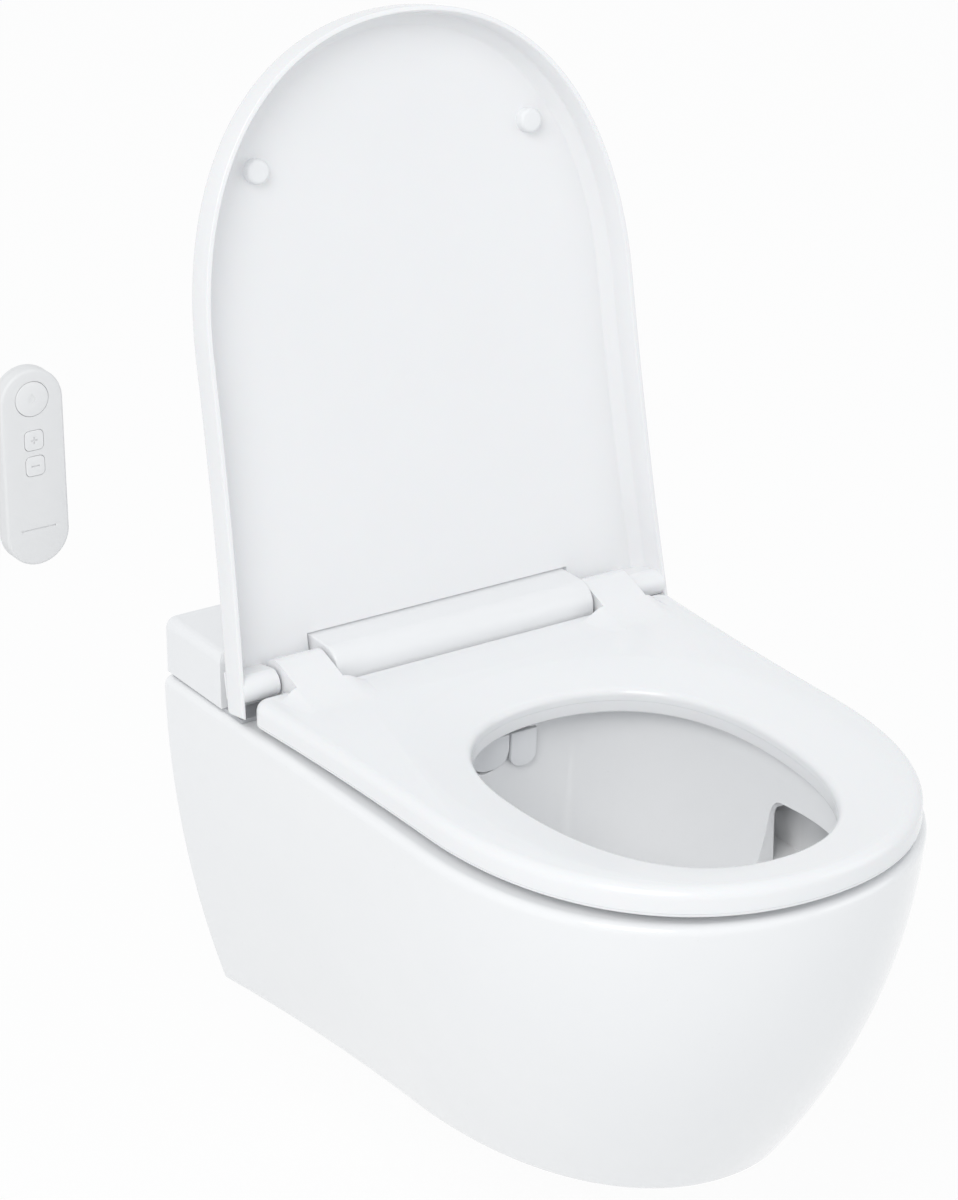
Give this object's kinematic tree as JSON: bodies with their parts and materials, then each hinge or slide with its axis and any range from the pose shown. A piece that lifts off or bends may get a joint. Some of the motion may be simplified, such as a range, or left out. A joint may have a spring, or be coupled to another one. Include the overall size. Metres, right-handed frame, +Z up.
{
  "type": "smart toilet with heated seat",
  "caption": "Wall-hung shower toilet: tapering glazed bowl, D-shaped heated seat and lid on soft-close hinges, telescopic wash arms and a slim wall-held remote.",
  "frame": {"origin": "on the wall plane, midway between the two fixing studs", "axes": "+X right as seen from in front of the bowl, +Y into the wall, +Z up; the bowl reaches out along -Y"},
  "size_m": [0.4984, 0.562, 0.751],
  "materials": {
    "glazed_china": "glossy white glaze on vitreous china",
    "seat_plastic": "glossy white thermoset",
    "cover_plastic": "satin-gloss white plastic",
    "base_plastic": "light grey moulded plastic",
    "spray_plastic": "smooth white acetal",
    "remote_plastic": "fine matt light grey plastic",
    "key_plastic": "fine matt near-white plastic",
    "steel": "bright stainless steel",
    "brass": "nickel-coloured brass",
    "white_rubber": "soft white elastomer",
    "black_rubber": "black elastomer",
    "heater_film": "amber heating film",
    "dark_plastic": "dark engineering plastic",
    "circuit_board": "green solder mask",
    "clear_tube": "milky silicone tube",
    "magnet": "plated magnet"
  },
  "bodies": {
    "pan": {"ceramic_pan": "glazed_china", "inlet_seal": "black_rubber", "fixing_sleeves": "base_plastic", "expanding_bushes": "white_rubber", "housing_bolts": "steel", "housing_base": "base_plastic", "housing_cover": "cover_plastic", "hinge_bar_cover": "cover_plastic", "hinge_frame": "base_plastic", "hinge_pins": "steel", "lid_damper": "dark_plastic", "seat_damper": "dark_plastic", "water_connector": "brass", "inlet_valve": "base_plastic", "flow_heater": "base_plastic", "water_pump": "dark_plastic", "control_board": "circuit_board", "power_module": "dark_plastic", "power_gland": "dark_plastic", "water_tubes": "clear_tube", "spray_guide": "spray_plastic", "spray_drive": "dark_plastic", "wall_holder": "remote_plastic", "holder_magnet": "magnet"},
    "seat": {"seat_top_shell": "seat_plastic", "seat_base_shell": "seat_plastic", "seat_heater_mat": "heater_film", "seat_bumpers": "white_rubber", "seat_hinge_bushes": "base_plastic"},
    "lid": {"lid_shell": "seat_plastic", "lid_bumpers": "white_rubber", "lid_hinge_bushes": "base_plastic"},
    "rear_wash": {"rear_wash_arm": "steel", "rear_wash_nozzle": "spray_plastic", "rear_wash_shield": "spray_plastic"},
    "front_wash": {"front_wash_arm": "steel", "front_wash_nozzle": "spray_plastic", "front_wash_shield": "spray_plastic"},
    "remote": {"remote_back_shell": "remote_plastic", "remote_keeper": "steel", "remote_battery": "steel", "remote_board": "circuit_board", "button_mat": "white_rubber", "remote_front_shell": "remote_plastic"},
    "spray_key": {"spray_button": "key_plastic"},
    "plus_key": {"plus_button": "key_plastic"},
    "minus_key": {"minus_button": "key_plastic"}
  },
  "joints": [
    {"name": "lid_hinge", "type": "hinge", "parent": "pan", "child": "lid", "pos_m": [0, -0.108, 0.109], "axis": [-1, 0, 0], "range_deg": [-101, 0]},
    {"name": "seat_hinge", "type": "hinge", "parent": "pan", "child": "seat", "pos_m": [0, -0.108, 0.109], "axis": [-1, 0, 0], "range_deg": [0, 96]},
    {"name": "rear_wash_slide", "type": "slide", "parent": "pan", "child": "rear_wash", "axis": [0, -0.9986, -0.0523], "range_m": [0, 0.085]},
    {"name": "front_wash_slide", "type": "slide", "parent": "pan", "child": "front_wash", "axis": [0, -0.9986, -0.0523], "range_m": [0, 0.085]},
    {"name": "remote_lift", "type": "slide", "parent": "pan", "child": "remote", "axis": [0, -1, 0], "range_m": [0, 0.03]},
    {"name": "spray_press", "type": "slide", "parent": "remote", "child": "spray_key", "axis": [0, 1, 0], "range_m": [0, 0.0008], "stiffness_N_per_m": 300},
    {"name": "plus_press", "type": "slide", "parent": "remote", "child": "plus_key", "axis": [0, 1, 0], "range_m": [0, 0.0008], "stiffness_N_per_m": 300},
    {"name": "minus_press", "type": "slide", "parent": "remote", "child": "minus_key", "axis": [0, 1, 0], "range_m": [0, 0.0008], "stiffness_N_per_m": 300}
  ]
}
